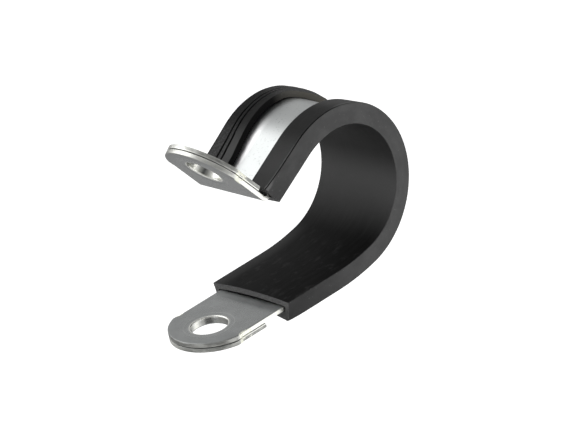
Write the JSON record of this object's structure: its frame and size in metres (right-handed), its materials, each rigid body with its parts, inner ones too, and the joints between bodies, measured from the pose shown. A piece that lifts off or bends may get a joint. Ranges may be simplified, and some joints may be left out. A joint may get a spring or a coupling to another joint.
{
  "type": "rubber-lined p clip",
  "caption": "Open steel loop with a rubber channel liner and two bolted tabs, for holding a pipe, hose or cable against a surface.",
  "frame": {"origin": "on the axis of the lower tab's bolt hole, at the contact face that meets the other tab when the clip is closed", "axes": "+X along the lower leg from the tab's tip towards the loop, +Y across the band's width, +Z out of the lower tab's contact face towards the pipe"},
  "size_m": [0.0496, 0.018, 0.0344],
  "materials": {
    "zinc_plated_steel": "satin bright zinc plate with plain sheared edges",
    "black_rubber": "matte extruded black rubber"
  },
  "bodies": {
    "root": {"steel_band": "zinc_plated_steel", "lower_reinforcing_plate": "zinc_plated_steel", "upper_reinforcing_plate": "zinc_plated_steel", "rubber_liner": "black_rubber"}
  },
  "joints": []
}
